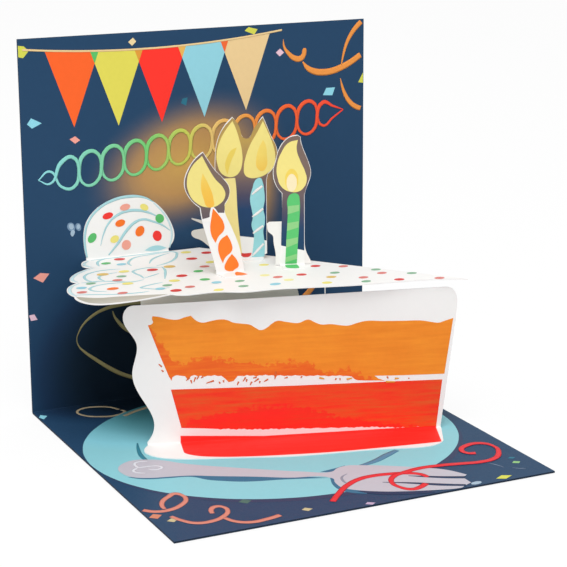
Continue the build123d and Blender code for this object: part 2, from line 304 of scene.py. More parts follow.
def cover_board():
    """Coated board printed over its face: navy, with a warm glow, and a dark pool of painted shade on the
    rear leaf behind and under the slice.

    The coating gives a satin gloss that greys the lower leaf at a low view. The outside is
    plain navy, and the cut edges show the darker, unprinted core.
    """
    made, tree, shader, place = material("cover_board")
    # Painted shade: the navy darkens nearly to black under the slice's top and behind the slice
    painted_shade_reach = oval_reach(tree, place, painted_shade_middle, painted_shade_radii)
    painted_shade_colour = stops(add(tree, "ValToRGB", {0: painted_shade_reach}), [
        (0.0, "#0a1521"), (0.54, "#0d1a27"), (0.64, "#122232"), (0.73, "#172b41"), (0.82, "#1d3450"),
        (0.89, "#213e5c"), (1.0, navy)])
    glow_reach = add(tree, "Math", {
        0: oval_reach(tree, place, glow_middle, glow_radii, glow_lean),
        1: oval_reach(tree, place, low_glow_middle, low_glow_radii),
    }, operation="MINIMUM")
    glow_colour = stops(add(tree, "ValToRGB", {0: glow_reach}), [
        (0.0, "#cda45a"), (0.42, "#b98f5a"), (0.66, "#8d7560"), (0.85, "#5d5c66"), (1.0, "#3a4f6a")])
    glow_share = stops(add(tree, "ValToRGB", {0: glow_reach}), [
        (0.0, "#ffffff"), (0.55, "#ffffff"), (0.85, "#a0a0a0"), (1.0, "#000000")])
    lit = add(tree, "Mix", {0: glow_share, 6: painted_shade_colour, 7: glow_colour}, data_type="RGBA").outputs[2]

    # Plain navy on the outside, told from the inside at the middle of the board
    spot = add(tree, "SeparateXYZ", {0: place})
    behind_y = (back_y + board / 2) * mm
    behind = add(tree, "Math", {0: spot.outputs["Y"], 1: behind_y}, operation="GREATER_THAN")
    below = add(tree, "Math", {0: spot.outputs["Z"], 1: board / 2 * mm}, operation="LESS_THAN")
    outside = add(tree, "Math", {0: behind, 1: below}, operation="MAXIMUM")
    face = add(tree, "Mix", {0: outside, 6: lit, 7: navy}, data_type="RGBA").outputs[2]

    # The core shows at the two sides, along the top and along the front
    side_x = (card_side / 2 - edge_band) * mm
    top_z = (card_side + board - edge_band) * mm
    front_y = (edge_band - (card_side + board) / 2) * mm
    side = add(tree, "Math", {0: spot.outputs["X"]}, operation="ABSOLUTE")
    past_side = add(tree, "Math", {0: side, 1: side_x}, operation="GREATER_THAN")
    past_top = add(tree, "Math", {0: spot.outputs["Z"], 1: top_z}, operation="GREATER_THAN")
    past_front = add(tree, "Math", {0: spot.outputs["Y"], 1: front_y}, operation="LESS_THAN")
    past_end = add(tree, "Math", {0: past_top, 1: past_front}, operation="MAXIMUM")
    cut = add(tree, "Math", {0: past_side, 1: past_end}, operation="MAXIMUM")
    colour = add(tree, "Mix", {0: cut, 6: face, 7: board_core}, data_type="RGBA").outputs[2]
    paper_surface(tree, shader, place, colour, rough=0.46, sheen=0.1, clouding=0.015, mottle=2.2,
                  grain=0.4, relief=0.008)
    return made


def white_card(name, colour, rough):
    """White card stock, calendered: nearly smooth, a little warm, with short fibres just felt."""
    made, tree, shader, place = material(name)
    paper_surface(tree, shader, place, colour, rough=rough, sheen=0.2, clouding=0.006, mottle=3.0,
                  grain=0.25, relief=0.012)
    return made


# The front of the slice is painted as if with a stiff brush drawn along its foot
def brush_marks(tree, place):
    """Place along the front's own axes, height over its foot, and the bristles' streaks.

    Both places are in millimetres. The print runs over the fold on to the foot, so height
    and reach forward are one length.
    """
    foot = upright(front_left_x, front_left_depth, floor_z + sheet, front_angle).translation
    spot = add(tree, "Mapping", {
        "Vector": place, "Location": foot, "Rotation": (0, 0, radians(-front_angle)),
        "Scale": (mm, mm, mm),
    }, vector_type="TEXTURE")
    parts = add(tree, "SeparateXYZ", {0: spot})
    height = add(tree, "Math", {0: parts.outputs["Z"], 1: parts.outputs["Y"]}, operation="ADD")
    bristles = add(tree, "Mapping", {
        "Vector": spot, "Scale": (1 / streak_length, 1 / streak_foot_width, 1 / streak_width),
    })
    streaks = add(tree, "TexNoise", {"Vector": bristles, "Scale": 1.0, "Detail": 7.0, "Roughness": 0.6})
    return spot, height, streaks


def paint_load(tree, spot, streaks, cloud_share):
    """How thickly the paint lies: the bristles' streaks, with a share of broad clouds."""
    clouds = add(tree, "TexNoise", {"Vector": spot, "Scale": 1 / brush_cloud, "Detail": 4.0})
    return add(tree, "Mix", {0: cloud_share, 2: streaks, 3: clouds})


def second_coat(tree, place, spot, height, streaks, tops):
    """Share of a second coat below a top line in millimetres, torn at its edge by the bristles."""
    along = add(tree, "SeparateXYZ", {0: spot}).outputs["X"]
    reach = add(tree, "MapRange", {"Value": along, "From Max": coat_length})
    top_shares = [(x / coat_length, rise / coat_rise) for x, rise in tops]
    top = knots(add(tree, "FloatCurve", {1: reach}), top_shares)
    tufts = add(tree, "TexNoise", {
        "Vector": place, "Scale": 1 / (brush_tuft * mm), "Detail": 6.0, "Roughness": 0.62,
    })
    streaked = add(tree, "Math", {0: streaks, 1: streak_tear}, operation="MULTIPLY")
    torn = add(tree, "Math", {0: tufts, 1: tuft_tear, 2: streaked}, operation="MULTIPLY_ADD")
    edge = add(tree, "Math", {0: top, 1: coat_rise, 2: torn}, operation="MULTIPLY_ADD")
    under = add(tree, "Math", {0: edge, 1: height}, operation="SUBTRACT")
    middle = (tuft_tear + streak_tear) / 2
    return add(tree, "MapRange", {
        "Value": under, "From Min": middle - coat_fade, "From Max": middle + coat_fade,
    })


def orange_layer_ink():
    """The orange sponge: thin streaky paint, and a deeper orange left by the brush along its foot."""
    made, tree, shader, place = material("orange_layer_ink")
    spot, height, streaks = brush_marks(tree, place)
    load = paint_load(tree, spot, streaks, cloud_share=0.4)
    paint = stops(add(tree, "ValToRGB", {0: load}), [
        (0.36, "#e98529"), (0.47, "#ee8a2c"), (0.55, "#f18f2e"), (0.66, "#f5952f")])
    deep = stops(add(tree, "ValToRGB", {0: streaks}), [
        (0.36, "#e86126"), (0.5, "#eb6827"), (0.64, "#ef7a2a")])
    coat = second_coat(tree, place, spot, height, streaks, [
        (0.0, 43.0), (4.0, 37.0), (7.4, 32.6), (11.4, 27.4), (17.8, 28.8), (20.5, 29.6), (26.0, 28.2),
        (32.3, 26.9), (41.3, 25.8), (50.7, 25.9), (56.4, 24.6), (60.9, 22.4), (64.0, 21.0), (68.0, 22.6),
        (73.8, 20.0), (80.0, 17.5), (108.0, 16.0)])
    colour = add(tree, "Mix", {0: coat, 6: paint, 7: deep}, data_type="RGBA").outputs[2]
    inked_surface(tree, shader, place, colour)
    return made


def red_layer_ink():
    """The red sponge: a warm orange red, and a brighter red gone over it low in the middle."""
    made, tree, shader, place = material("red_layer_ink")
    spot, height, streaks = brush_marks(tree, place)
    load = paint_load(tree, spot, streaks, cloud_share=0.3)
    warm = stops(add(tree, "ValToRGB", {0: load}), [
        (0.38, "#e25a2b"), (0.46, "#ea4e27"), (0.52, "#ef4526"), (0.60, "#f03a25"), (0.68, "#ee3224")])
    bright = stops(add(tree, "ValToRGB", {0: load}), [
        (0.38, "#ea3d28"), (0.5, "#f13527"), (0.62, "#f63028")])
    coat = second_coat(tree, place, spot, height, streaks, [
        (0.0, 3.6), (10.0, 5.4), (17.0, 8.0), (26.0, 9.6), (36.0, 11.0), (46.0, 10.4), (54.0, 9.2),
        (62.0, 7.4), (72.0, 4.6), (84.0, 1.6), (108.0, 0.2)])
    colour = add(tree, "Mix", {0: coat, 6: warm, 7: bright}, data_type="RGBA").outputs[2]
    inked_surface(tree, shader, place, colour)
    return made


def cake_print():
    """Coated card with the lowest layer of the slice, which runs over the fold on to the foot."""
    made, tree, shader, place = material("cake_print")
    spot, height, streaks = brush_marks(tree, place)
    parts = add(tree, "SeparateXYZ", {0: spot})
    along = parts.outputs["X"]

    # The rear of the sheet stays bare
    face_depth = 0.15
    on_front = add(tree, "Math", {0: parts.outputs["Y"], 1: face_depth}, operation="LESS_THAN")

    # Ends of the print; the right one leans out with height
    print_left, print_right, right_lean = 11.3, 100.3, 0.12
    right_x = add(tree, "Math", {0: height, 1: right_lean, 2: print_right}, operation="MULTIPLY_ADD")
    from_right = add(tree, "Math", {0: right_x, 1: along}, operation="SUBTRACT")
    from_left = add(tree, "Math", {0: along, 1: print_left}, operation="SUBTRACT")
    sides = add(tree, "Math", {0: from_left, 1: from_right}, operation="MINIMUM")

    # Filling over the layer, pale pink away from its left end
    filling_height, blush_length = 6.2, 100.0
    under_red = add(tree, "Math", {0: filling_height, 1: height}, operation="SUBTRACT")
    filling = add(tree, "Math", {0: sides, 1: under_red}, operation="MINIMUM")
    blush = add(tree, "MapRange", {"Value": filling, "From Min": -print_blur, "From Max": print_blur})
    blush_share = add(tree, "MapRange", {"Value": along, "From Max": blush_length})
    pink = stops(add(tree, "ValToRGB", {0: blush_share}), [
        (0.12, "#efeeec"), (0.20, "#ececea"), (0.34, "#ebe8e8"), (0.8, "#eeeaea")])

    # Top of the layer, which falls to the right, and the curved rim of its print on the foot
    top_left, top_fall, top_least = 2.9, -0.065, 0.3
    rim_left, rim_right, rim_reach = 11.0, 101.0, 20.0
    slope = add(tree, "Math", {0: along, 1: top_fall, 2: top_left}, operation="MULTIPLY_ADD")
    top = add(tree, "Math", {0: slope, 1: top_least}, operation="MAXIMUM")
    under_top = add(tree, "Math", {0: top, 1: height}, operation="SUBTRACT")
    rim_share = add(tree, "MapRange", {"Value": along, "From Min": rim_left, "From Max": rim_right})
    rim = knots(add(tree, "FloatCurve", {1: rim_share}), [
        (0.0, 0.36), (0.03, 0.66), (0.10, 0.80), (0.22, 0.89), (0.40, 0.93), (0.55, 0.93),
        (0.80, 0.84), (1.0, 0.74)])
    before_rim = add(tree, "Math", {0: rim, 1: rim_reach, 2: height}, operation="MULTIPLY_ADD")
    depth = add(tree, "Math", {0: under_top, 1: before_rim}, operation="MINIMUM")
    within = add(tree, "Math", {0: sides, 1: depth}, operation="MINIMUM")
    layer = add(tree, "MapRange", {"Value": within, "From Min": -print_blur, "From Max": print_blur})
    paint = stops(add(tree, "ValToRGB", {0: streaks}), [
        (0.35, "#f32a24"), (0.5, "#f93029"), (0.7, "#fd3730")])

    colour = add(tree, "Mix", {0: blush, 6: coated_white, 7: pink}, data_type="RGBA").outputs[2]
    colour = add(tree, "Mix", {0: layer, 6: colour, 7: paint}, data_type="RGBA").outputs[2]
    colour = add(tree, "Mix", {0: on_front, 6: coated_white, 7: colour}, data_type="RGBA").outputs[2]
    paper_surface(tree, shader, place, colour, rough=0.5, sheen=0.12, clouding=0.006, mottle=3.0,
                  grain=0.3, relief=0.008)
    return made


plain_rough, coated_rough = 0.62, 0.5
orange_layer = orange_layer_ink()
red_layer = red_layer_ink()
plain_card = white_card("plain_card", "#edece8", plain_rough)
# Painted light: the platform's white card is made lighter and warmer than plain card, so that its leg, in
# shade under the slice's top, looks lit
painted_light_card = white_card("painted_light_card", "#fbf5e8", plain_rough)
# Painted shade: the left stay's white card is drawn grey, as it stands in shade behind the candles
painted_shade_card = white_card("painted_shade_card", "#c6c2ba", plain_rough)
coated_card = white_card("coated_card", coated_white, coated_rough)
finishes = {
    "cover": cover_board(), "cake_front": cake_print(), "cake_top": coated_card,
    "platform": painted_light_card, "tie_strip": plain_card, "stay_left": painted_shade_card, "stay_right": plain_card,
    "candle_orange": coated_card, "candle_pair": coated_card, "candle_green": coated_card,
}
for node_name, finish in finishes.items():
    cut_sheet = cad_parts[node_name]
    if not cut_sheet.material_slots:
        cut_sheet.data.materials.append(finish)
    for slot in cut_sheet.material_slots:
        slot.material = finish


# Drawing
def line(curve, points, closed):
    """A smooth line through points; a point with a third entry True is a sharp corner."""
    spline = curve.splines.new("BEZIER")
    spline.bezier_points.add(len(points) - 1)
    spline.use_cyclic_u = closed
    for knot, point in zip(spline.bezier_points, points):
        knot.co = (point[0], point[1], 0)
        kind = "VECTOR" if point[2:] == (True,) else "AUTO"
        knot.handle_left_type = kind
        knot.handle_right_type = kind
    return spline


def inked(drawing, ink, level, squash):
    """Make a drawing a closed mesh in its ink, on its level above the face."""
    bpy.ops.object.convert(target="MESH")
    bpy.ops.object.mode_set(mode="EDIT")
    bpy.ops.mesh.select_all(action="SELECT")
    bpy.ops.mesh.remove_doubles(threshold=film / 10)
    bpy.ops.mesh.normals_make_consistent(inside=False)
    bpy.ops.object.mode_set(mode="OBJECT")
    drawing.data.transform(Matrix.Translation((0, 0, film * level)) @ Matrix.Diagonal((1, 1, squash, 1)))
    drawing.data.materials.append(ink)
    return drawing


def filled(ink, level, *outlines):
    """Areas of ink inside closed outlines that don't cross."""
    bpy.ops.object.add(type="CURVE")
    drawing = bpy.context.object
    drawing.data.dimensions = "2D"
    drawing.data.fill_mode = "BOTH"
    drawing.data.resolution_u = 6
    drawing.data.extrude = film / 2
    for points in outlines:
        line(drawing.data, points, closed=True)
    return inked(drawing, ink, level, 1.0)


def stroke(ink, level, points, width=1.0):
    """A brush stroke through points; a point's third entry is the stroke's own width there.

    The brush is round and 1 mm across, a knot's radius widens it, and the whole stroke is
    then squashed to the thickness of the ink.
    """
    widths = [point[2] if len(point) > 2 else width for point in points]
    bpy.ops.object.add(type="CURVE")
    drawing = bpy.context.object
    drawing.data.dimensions = "3D"
    drawing.data.twist_mode = "Z_UP"
    drawing.data.bevel_depth = 0.5
    drawing.data.bevel_resolution = 1
    drawing.data.use_fill_caps = True
    drawing.data.resolution_u = 8
    spline = line(drawing.data, [point[:2] for point in points], closed=False)
    for knot, wide in zip(spline.bezier_points, widths):
        knot.radius = wide
    return inked(drawing, ink, level, film / max(widths))


def tapered(points, width):
    """Points of a stroke that runs thin at both ends."""
    end_share = 0.4
    shares = [end_share] + [1.0] * (len(points) - 2) + [end_share]
    return [(x, y, width * share) for (x, y), share in zip(points, shares)]


def pen_stroke(points, thin, wide):
    """Points of a stroke by a flat pen: wide where it runs sideways, thin where it runs in depth."""
    drawn = []
    for place, (x, y) in enumerate(points):
        before, after = points[max(place - 1, 0)], points[min(place + 1, len(points) - 1)]
        across, away = after[0] - before[0], after[1] - before[1]
        drawn.append((x, y, thin + (wide - thin) * abs(across) / hypot(across, away)))
    return drawn


def oval(x, y, length, width, tilt=0.0, steps=8):
    """Outline of an oval, turned by its tilt."""
    points = []
    lean = radians(tilt)
    for count in range(steps):
        turn = count * 2 * pi / steps
        across, up = cos(turn) * length / 2, sin(turn) * width / 2
        points.append((x + across * cos(lean) - up * sin(lean), y + across * sin(lean) + up * cos(lean)))
    return points


def beads(ink, level, length, width, *middles):
    """Beads of frosting, each turned by a few degrees to one side or the other."""
    most_turn = 9.0
    return filled(ink, level, *[oval(x, y, length, width, most_turn * sin(x + y)) for x, y in middles])


def cornered(*points):
    """Outline with a sharp corner at each point."""
    return [(x, y, True) for x, y in points]


def drawn_in(outline):
    """An outline moved inwards by the print's gap, and by less than three gaps at a sharp corner."""
    pairs = list(zip(outline, outline[1:] + outline[:1]))
    side = 1 if sum(a[0] * b[1] - b[0] * a[1] for a, b in pairs) > 0 else -1
    corner_share = 0.4
    moved = []
    for before, here, after in zip(outline[-1:] + outline[:-1], outline, outline[1:] + outline[:1]):
        inward = Vector((here[0] - before[0], here[1] - before[1])).normalized()
        onward = Vector((after[0] - here[0], after[1] - here[1])).normalized()
        middle = (inward + onward).normalized()
        reach = print_gap * side / max(corner_share, middle.dot(onward))
        moved.append((here[0] - middle.y * reach, here[1] + middle.x * reach, *here[2:]))
    return moved


def ragged(points, tooth, bite):
    """A line with the uneven teeth that a dry brush leaves.

    Two waves out of step with the teeth make no two of them alike.
    """
    teeth = []
    for (x, y), (next_x, next_y) in zip(points, points[1:]):
        count = max(1, round(hypot(next_x - x, next_y - y) / tooth))
        for step in range(count):
            share = step / count
            wobble = sin(5.3 * len(teeth)) * sin(2.1 * len(teeth) + 0.7)
            teeth.append((x + (next_x - x) * share, y + (next_y - y) * share + bite * wobble, True))
    return teeth + [(*points[-1], True)]


def printed(name, place, drawings):
    """Join drawings into one printed piece, put it on its face and fix it to the card."""
    bpy.ops.object.select_all(action="DESELECT")
    for drawing in drawings:
        drawing.select_set(True)
    bpy.context.view_layer.objects.active = drawings[0]
    if len(drawings) > 1:
        bpy.ops.object.join()
    piece = drawings[0]
    piece.name = name
    piece.data.name = name
    piece.data.transform(place)
    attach(piece, "root")
    piece.select_set(False)


# Bunting along the top of the rear leaf: flags that overlap where they meet
flag_inks = ["flag_orange", "flag_yellow", "flag_red", "flag_blue", "flag_tan"]
lap_inks = ["lap_green", "lap_ochre", "lap_gold", "lap_orange"]
flags_left = -57.0
flag_width = 19.6
flag_drop = 26.5
flag_lap = 3.2
lap_drop = flag_lap * flag_drop / flag_width
string_low_x, string_low = -22.0, 127.1
string_bend = 0.0012
string_width = 0.7


def string_height(x):
    """Height of the bunting's string, which sags in a shallow bow."""
    return string_low + string_bend * (x - string_low_x) ** 2


bunting = []
for count, ink_name in enumerate(flag_inks):
    left = flags_left + count * (flag_width - flag_lap)
    right = left + flag_width
    middle = (left + right) / 2
    tip = string_height(middle) - flag_drop
    bunting.append(filled(inks[ink_name], 2 + count % 2, cornered(
        (left, string_height(left)), (middle, tip), (right, string_height(right)))))
    if count:
        seam = left + flag_lap / 2
        bunting.append(filled(inks[lap_inks[count - 1]], 5, cornered(
            (left, string_height(left)), (seam, string_height(seam) - lap_drop),
            (left + flag_lap, string_height(left + flag_lap)))))
string_marks = (-64.8, -52.0, -38.0, -22.0, -6.0, 10.0, 26.0, 33.0)
string = [(x, string_height(x)) for x in string_marks]
bunting.append(stroke(inks["flag_tan"], 6, string, string_width))
printed("bunting", rear_leaf, bunting)

# Garland under it: two waves twisted round each other, rising to the right
garland_left = -61.0
garland_foot = 84.0
garland_rise = 0.135
garland_swing = 7.6
garland_turn = 17.0
garland_steps = 28

# A strand swells along its wave, and near each end it runs thin and its wave calms
strand_width, strand_swell, swell_phase = 1.3, 0.25, 0.6
strand_end_share, strand_growth_share = 0.3, 0.35
calm_steps = 2.5


def garland_wave(phase):
    """Points of one strand of the garland; both strands run thin and meet at the ends."""
    points = []
    for count in range(garland_steps + 1):
        x = garland_left + count * garland_turn / 4
        near_end = min(count, garland_steps - count)
        turn = count * pi / 2 + phase
        swing = garland_swing * min(1.0, near_end / calm_steps) * sin(turn)
        end_share = min(1.0, strand_end_share + near_end * strand_growth_share)
        width = strand_width * (1.0 + strand_swell * sin(turn + swell_phase)) * end_share
        points.append((x, garland_foot + garland_rise * (x - garland_foot_x) + swing, width))
    return points


garland = [stroke(garland_ink, 6, garland_wave(pi / 4)), stroke(garland_ink, 7, garland_wave(pi * 5 / 4))]
printed("garland", rear_leaf, garland)

# Confetti and streamers of the rear leaf
leaf_bits = [
    filled(inks["sky"], 1, cornered((-64.2, 103.7), (-62.7, 105.7), (-58.9, 103.7), (-62.5, 102.1)),
           cornered((49.6, 105.8), (51.0, 108.4), (54.6, 108.4), (53.5, 105.5))),
    filled(inks["pink"], 1, cornered((-49.1, 97.3), (-47.0, 98.2), (-45.2, 96.7), (-47.1, 95.6)),
           cornered((-64.2, 49.2), (-61.6, 50.8), (-58.3, 50.2), (-60.8, 47.2))),
    filled(inks["pale_pink"], 1, cornered((-66.3, 35.9), (-64.4, 36.1), (-63.3, 34.0), (-65.7, 33.8)),
           cornered((30.5, 122.7), (32.2, 124.0), (33.8, 122.5), (32.0, 121.2))),
    filled(inks["sand"], 1, cornered((-26.4, 129.8), (-24.6, 131.2), (-23.4, 129.8), (-25.0, 128.4))),
    filled(inks["lime"], 1, cornered((18.2, 131.2), (19.7, 132.5), (23.3, 131.5), (22.0, 129.7)),
           cornered((64.3, 109.6), (66.3, 113.2), (66.3, 109.3)),
           cornered((-66.3, 130.8), (-64.3, 130.5), (-62.5, 128.9), (-64.6, 126.5), (-66.3, 126.9))),
    filled(inks["teal"], 1, cornered((-7.0, 106.9), (-6.4, 108.5), (-4.4, 108.8), (-5.0, 105.9))),
    filled(inks["stain_dark"], 1, [
        (-51.0, 67.0), (-49.6, 67.7), (-48.3, 66.2), (-48.6, 64.6), (-50.2, 64.8)]),
    filled(inks["stain"], 2, [(-50.5, 66.6), (-49.6, 67.3), (-48.7, 66.2), (-49.4, 65.2)], [
        (-49.6, 64.8), (-48.6, 64.9), (-48.9, 62.9), (-49.4, 62.7)]),
    filled(inks["stain_dark"], 3, [
        (-47.9, 66.9), (-46.8, 67.2), (-46.0, 66.0), (-46.4, 64.5), (-47.6, 64.9)]),
    filled(inks["stain"], 4, [(-47.4, 66.6), (-46.7, 66.8), (-46.6, 65.3), (-47.3, 65.2)]),
    stroke(inks["streamer_orange"], 1, [
        (33.5, 127.3, 0.2), (33.9, 124.5, 0.85), (35.7, 122.0, 1.55), (38.2, 120.1, 2.1),
        (40.4, 119.9, 2.2), (41.7, 121.1, 1.9), (42.1, 122.8, 1.8), (42.3, 123.6, 1.1)]),
    stroke(inks["streamer_orange"], 2, [
        (41.3, 118.7, 0.5), (43.3, 116.3, 1.9), (46.2, 114.8, 2.4), (49.5, 114.3, 2.5), (53.6, 114.6, 2.5),
        (57.3, 115.7, 2.4), (60.8, 117.2, 2.3), (65.2, 119.8, 2.2)]),
    stroke(inks["streamer_orange"], 3, [
        (57.2, 116.6, 0.4), (58.0, 120.1, 0.9), (59.3, 124.2, 1.25), (61.2, 127.6, 1.6), (63.4, 130.2, 1.9),
        (65.4, 132.0, 1.9)]),
    stroke(inks["streamer_orange"], 3, [
        (56.8, 111.6, 0.2), (57.5, 108.9, 0.9), (58.8, 105.5, 1.5), (60.8, 102.5, 1.8), (63.2, 100.6, 1.9),
        (65.3, 99.8, 1.8)]),
    stroke(inks["khaki"], 1, [
        (-20.0, 35.4, 1.4), (-24.5, 35.6, 1.4), (-32.4, 35.6, 1.4), (-38.4, 34.7, 1.3), (-43.0, 32.7, 1.1),
        (-46.4, 30.0, 0.75), (-48.2, 27.3, 0.45), (-49.0, 24.9, 0.3), (-48.3, 22.2, 0.5),
        (-46.4, 20.0, 0.9), (-42.2, 16.5, 1.3), (-37.1, 12.6, 1.55), (-32.5, 9.7, 1.55),
        (-25.0, 6.4, 1.4)]),
    stroke(inks["khaki"], 1, [
        (-35.1, 33.7, 0.3), (-34.5, 31.7, 0.75), (-32.9, 29.2, 1.25), (-31.0, 27.0, 1.4),
        (-27.0, 24.0, 1.2)]),
    stroke(inks["streamer_orange"], 1, [(47.0, 35.4, 1.8), (43.8, 31.6, 2.3), (40.0, 28.8, 1.9)]),
]
printed("leaf_confetti", rear_leaf, leaf_bits)

# Plate on the lower leaf, with its rim lines
plate_middle_x, plate_middle_y = -1.7, -63.1
plate_length, plate_width = 129.4, 112.6
plate_tilt, plate_steps = -7.5, 32
plate_shadow_less, plate_shadow_forward = 0.6, 3.2
plate = [
    filled(plate_ink_with_shade, 2, oval(
        plate_middle_x, plate_middle_y, plate_length, plate_width, plate_tilt, plate_steps)),
    stroke(inks["rim_dark"], 3, [
        (-44.9, -47.4, 0.5), (-46.9, -53.5, 1.2), (-48.3, -59.8, 1.6), (-48.4, -66.0, 1.4)]),
    stroke(inks["rim_blue"], 3, [
        (11.9, -101.0, 1.6), (19.1, -98.8, 2.6), (25.1, -95.6, 2.9), (30.4, -92.9, 2.0)]),
]
printed("plate", lower_leaf, plate)

# Fork on the plate, its shadow first
fork = [
    filled(inks["fork_shadow"], 3, [
        (-59.6, -76.8, True), (-55.6, -80.7), (-47.9, -83.4), (-41.0, -85.6), (-37.4, -90.3),
        (-33.3, -93.6), (-29.0, -96.4), (-24.3, -98.4), (-16.7, -100.6), (-9.4, -103.2),
        (-2.0, -106.0, True), (-20.0, -94.0), (-34.0, -87.0), (-47.0, -80.0, True)]),
    filled(inks["fork_shadow"], 3, [
        (-2.0, -100.0, True), (4.4, -99.0), (8.0, -98.2, True), (4.0, -104.0, True)],
           [(-1.6, -106.4, True), (-3.7, -112.9), (-3.5, -117.6), (-1.2, -121.4), (2.4, -124.0, True),
            (6.0, -118.0, True), (3.0, -108.0, True)]),
    filled(inks["fork_dark"], 4, [
        (0.6, -120.6, True), (4.5, -125.4), (9.5, -128.4), (16.0, -131.0), (22.1, -132.6, True),
        (20.0, -124.0, True)]),
    filled(inks["fork_grey"], 5, [
        (-59.5, -67.8), (-56.5, -64.3), (-52.5, -62.8), (-48.0, -64.2), (-43.6, -67.3), (-39.0, -72.7),
        (-33.2, -77.9), (-25.6, -83.8), (-15.4, -91.4), (-6.8, -97.4), (1.0, -101.6), (5.1, -99.2),
        (8.7, -98.8), (13.7, -101.0), (19.3, -104.1), (24.1, -107.4), (30.3, -111.7), (35.5, -116.5),
        (37.7, -120.1), (39.2, -123.4, True), (36.8, -124.9, True), (36.7, -130.1, True),
        (33.9, -131.4, True), (31.8, -132.7, True), (29.0, -132.5), (26.5, -131.8), (20.0, -129.7),
        (13.1, -127.1), (6.7, -123.9), (1.2, -120.0), (-2.0, -116.0), (-2.1, -111.1), (-1.2, -106.6),
        (-13.8, -100.1), (-22.6, -94.7), (-33.9, -88.5), (-40.6, -84.6), (-47.4, -82.4), (-53.8, -80.5),
        (-58.2, -77.5), (-59.9, -73.4)]),
    stroke(inks["fork_dark"], 6, [
        (21.8, -115.9, 0.4), (27.3, -119.6, 1.5), (32.2, -122.6, 1.9), (37.4, -125.2, 2.0)]),
    stroke(inks["fork_dark"], 6, [
        (11.6, -117.3, 0.4), (20.4, -122.7, 1.4), (26.8, -127.2, 2.0), (34.0, -131.4, 1.6)]),
    stroke(inks["fork_light"], 6, tapered([
        (-48.5, -65.9), (-49.9, -65.1), (-51.5, -64.9), (-53.0, -66.0), (-53.5, -68.1), (-53.1, -69.9),
        (-51.4, -70.2), (-48.9, -70.5), (-46.8, -71.5), (-46.3, -73.2), (-47.8, -74.3), (-49.7, -74.0),
        (-51.0, -72.6)], 1.0)),
    stroke(inks["fork_light"], 7, tapered([
        (-53.3, -70.0), (-54.9, -71.1), (-55.9, -72.3), (-55.8, -73.6), (-54.8, -74.8),
        (-53.2, -76.0)], 1.1)),
    stroke(inks["fork_mark"], 6, [
        (5.0, -105.5, 0.3), (2.2, -107.4, 0.8), (0.9, -110.8, 0.9), (0.9, -114.1, 0.3)]),
]
printed("fork", lower_leaf, fork)

